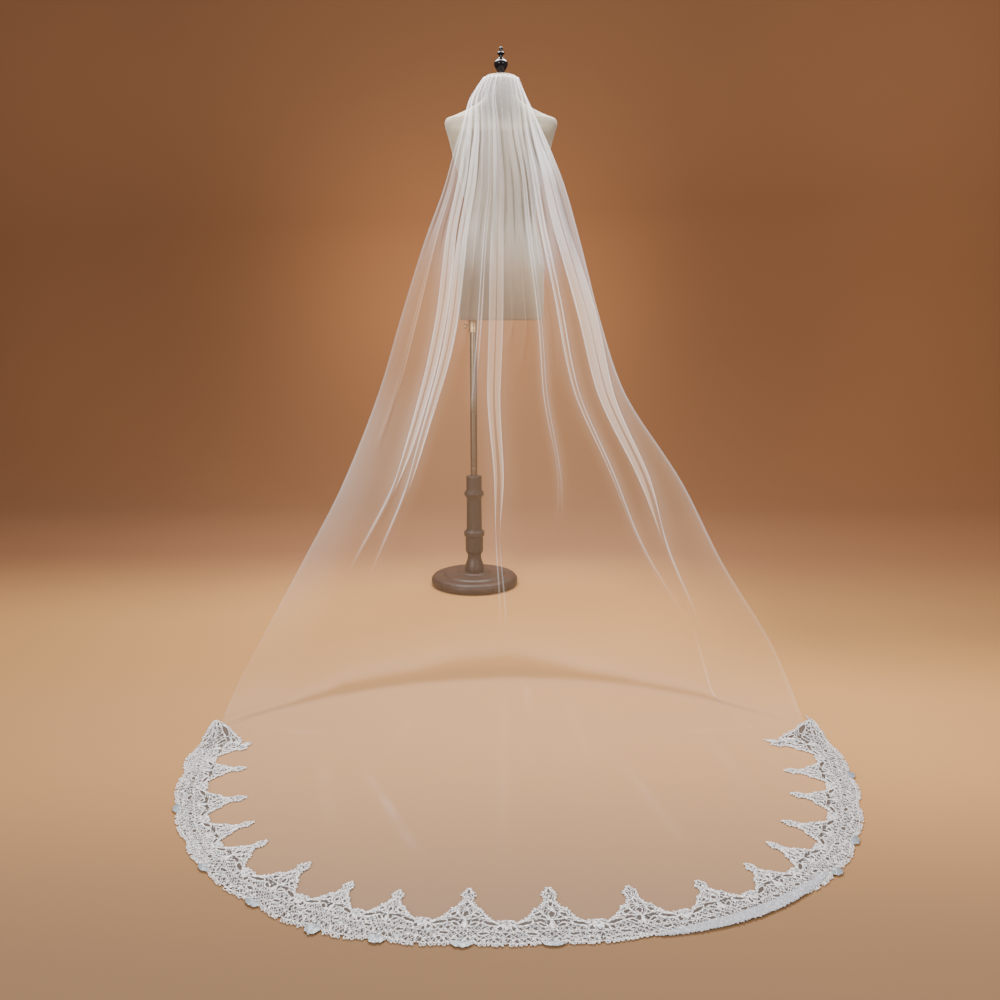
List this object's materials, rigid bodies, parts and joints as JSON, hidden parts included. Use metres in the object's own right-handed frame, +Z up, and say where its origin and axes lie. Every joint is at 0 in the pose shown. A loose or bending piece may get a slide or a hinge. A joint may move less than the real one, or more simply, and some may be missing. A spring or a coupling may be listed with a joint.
{
  "type": "bridal veil on a dress form",
  "caption": "Long one-layer tulle veil with a cut corded-lace edge, hung on a limbless dress form with a turned wooden stand and spread as a train.",
  "frame": {"origin": "centre of the round wooden base's underside, on the floor", "axes": "+Z up; the veil comes down from the neck and lies on the floor towards -Y; +X is to the right seen from the train"},
  "size_m": [1.4529, 2.1039, 1.82],
  "materials": {
    "tulle": "soft sheer net",
    "lace": "corded, with sequins",
    "form_cover": "matt jersey",
    "wood": "dark stain, semi-gloss",
    "steel": "brushed",
    "brass": "dull",
    "black_gloss": "high gloss"
  },
  "bodies": {
    "root": {"veil_fall_top": "tulle", "veil_fall_middle_left": "tulle", "veil_fall_middle_right": "tulle", "veil_fall_low_left": "tulle", "veil_fall_low_right": "tulle", "veil_train": "tulle", "lace_edge_1": "lace", "lace_edge_2": "lace", "lace_edge_3": "lace", "lace_edge_4": "lace", "lace_edge_5": "lace", "lace_edge_6": "lace", "lace_turned_edge": "lace", "dress_form": "form_cover", "neck_finial": "black_gloss", "stand_pole": "steel", "pole_clamp": "brass", "stand_column": "wood", "stand_base": "wood"}
  },
  "joints": []
}
